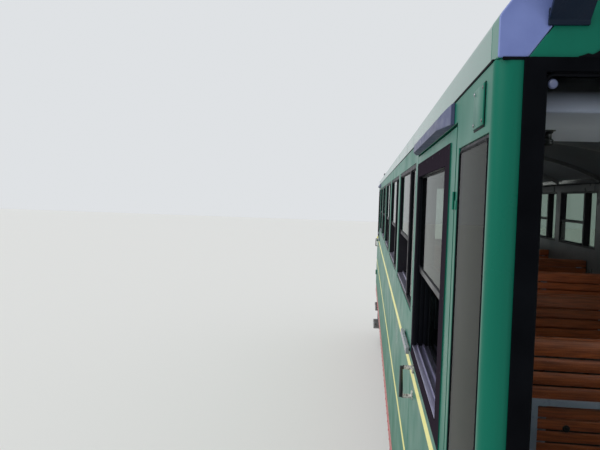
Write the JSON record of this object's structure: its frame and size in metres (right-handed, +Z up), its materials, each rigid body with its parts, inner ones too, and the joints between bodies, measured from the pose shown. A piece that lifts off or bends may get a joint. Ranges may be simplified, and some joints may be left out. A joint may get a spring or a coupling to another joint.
{
  "type": "rack railway passenger car",
  "caption": "Rack railway passenger car with swinging side doors, panoramic windows, slatted benches, pivoting bogies, rolling wheelsets and toothed rack pinions.",
  "frame": {"origin": "under the middle of the car, at the lowest point of the wheel flanges", "axes": "+X uphill along the car, +Y to its left side, +Z up"},
  "size_m": [11.4, 2.518, 3.1178],
  "materials": {
    "body_green": "glossy green coach enamel with two thin yellow lines",
    "red_paint": "semi-gloss red frame paint",
    "roof_paint": "matt grey roof paint",
    "ceiling_paint": "satin grey interior paint",
    "cap_grey": "satin blue-grey paint",
    "hood_grey": "satin purple-grey paint",
    "frame_black": "dark bronze anodised look",
    "gasket_rubber": "black moulded rubber",
    "clear_glass": "clear safety glass, faintly green",
    "sill_aluminium": "worn anodised",
    "rail_grey": "grey tube with black ends",
    "coupler_steel": "painted black cast steel",
    "bracket_paint": "dark blue-black paint",
    "lamp_metal": "grey housing with clear lens",
    "step_steel": "galvanised tread",
    "gear_paint": "matt dark grey running gear paint",
    "box_iron": "cast, oily",
    "spring_steel": "oiled leaf steel",
    "wheel_steel": "rolled steel, polished tread",
    "pinion_steel": "greased toothed steel",
    "bare_steel": "machined, greased",
    "floor_rubber": "studded floor covering",
    "bench_wood": "varnished slats",
    "bench_steel": "grey aluminium angle",
    "locker_grey": "light grey sheet",
    "handwheel_paint": "grey hammer paint",
    "lamp_plastic": "opal",
    "handle_black": "black grip on bright brackets"
  },
  "bodies": {
    "car_body": {"air_tank": "gear_paint", "battery_box": "gear_paint", "bench_frames": "bench_steel", "bench_slats": "bench_wood", "ceiling_lamps": "lamp_plastic", "centre_pivots": "bare_steel", "coupler_front": "coupler_steel", "coupler_rear": "coupler_steel", "door_hinges": "body_green", "door_hoods": "hood_grey", "door_steps": "step_steel", "eaves_caps": "cap_grey", "eaves_fairings": "body_green", "end_glass": "clear_glass", "end_lamps": "lamp_metal", "end_wall_front": "body_green", "end_wall_rear": "body_green", "end_window_frames": "gasket_rubber", "floor": "floor_rubber", "glass_left": "clear_glass", "glass_right": "clear_glass", "grab_rails": "rail_grey", "handbrake": "handwheel_paint", "headstocks": "red_paint", "lamp_brackets": "bracket_paint", "locker": "locker_grey", "roof": "roof_paint", "roof_bows": "ceiling_paint", "side_wall_left": "body_green", "side_wall_right": "body_green", "underframe": "red_paint", "window_frames_left": "frame_black", "window_frames_right": "frame_black", "window_sills": "sill_aluminium"},
    "bogie_rear": {"bogie_frame_rear": "gear_paint", "axle_boxes_rear": "box_iron", "springs_rear": "spring_steel", "brake_gear_rear": "box_iron"},
    "bogie_front": {"bogie_frame_front": "gear_paint", "axle_boxes_front": "box_iron", "springs_front": "spring_steel", "brake_gear_front": "box_iron"},
    "wheelset_1": {"wheelset_1": "wheel_steel"},
    "wheelset_2": {"wheelset_2": "wheel_steel"},
    "wheelset_3": {"wheelset_3": "wheel_steel"},
    "wheelset_4": {"wheelset_4": "wheel_steel"},
    "pinion_rear": {"pinion_rear": "pinion_steel"},
    "pinion_front": {"pinion_front": "pinion_steel"},
    "door_left_rear": {"door_left_rear": "body_green", "door_glass_left_rear": "clear_glass", "door_handle_left_rear": "handle_black"},
    "door_left_front": {"door_left_front": "body_green", "door_glass_left_front": "clear_glass", "door_handle_left_front": "handle_black"},
    "door_right_rear": {"door_right_rear": "body_green", "door_glass_right_rear": "clear_glass", "door_handle_right_rear": "handle_black"},
    "door_right_front": {"door_right_front": "body_green", "door_glass_right_front": "clear_glass", "door_handle_right_front": "handle_black"}
  },
  "joints": [
    {"name": "bogie_pivot_rear", "type": "hinge", "parent": "car_body", "child": "bogie_rear", "pos_m": [-3.2, 0, 0.728], "axis": [0, 0, 1], "range_deg": [-5, 5]},
    {"name": "bogie_pivot_front", "type": "hinge", "parent": "car_body", "child": "bogie_front", "pos_m": [3.2, 0, 0.728], "axis": [0, 0, 1], "range_deg": [-5, 5]},
    {"name": "wheel_roll_1", "type": "hinge", "parent": "bogie_rear", "child": "wheelset_1", "pos_m": [-3.9, 0, 0.328], "axis": [0, 1, 0], "continuous": true},
    {"name": "wheel_roll_2", "type": "hinge", "parent": "bogie_rear", "child": "wheelset_2", "pos_m": [-2.5, 0, 0.328], "axis": [0, 1, 0], "continuous": true},
    {"name": "wheel_roll_3", "type": "hinge", "parent": "bogie_front", "child": "wheelset_3", "pos_m": [2.5, 0, 0.328], "axis": [0, 1, 0], "continuous": true},
    {"name": "wheel_roll_4", "type": "hinge", "parent": "bogie_front", "child": "wheelset_4", "pos_m": [3.9, 0, 0.328], "axis": [0, 1, 0], "continuous": true},
    {"name": "pinion_turn_rear", "type": "hinge", "parent": "wheelset_1", "child": "pinion_rear", "pos_m": [-3.9, 0, 0.328], "axis": [0, 1, 0], "continuous": true},
    {"name": "pinion_turn_front", "type": "hinge", "parent": "wheelset_4", "child": "pinion_front", "pos_m": [3.9, 0, 0.328], "axis": [0, 1, 0], "continuous": true},
    {"name": "door_swing_left_rear", "type": "hinge", "parent": "car_body", "child": "door_left_rear", "pos_m": [-4.865, 1.212, 0.978], "axis": [0, 0, 1], "range_deg": [0, 100]},
    {"name": "door_swing_left_front", "type": "hinge", "parent": "car_body", "child": "door_left_front", "pos_m": [4.865, 1.212, 0.978], "axis": [0, 0, -1], "range_deg": [0, 100]},
    {"name": "door_swing_right_rear", "type": "hinge", "parent": "car_body", "child": "door_right_rear", "pos_m": [-4.865, -1.212, 0.978], "axis": [0, 0, -1], "range_deg": [0, 100]},
    {"name": "door_swing_right_front", "type": "hinge", "parent": "car_body", "child": "door_right_front", "pos_m": [4.865, -1.212, 0.978], "axis": [0, 0, 1], "range_deg": [0, 100]}
  ]
}
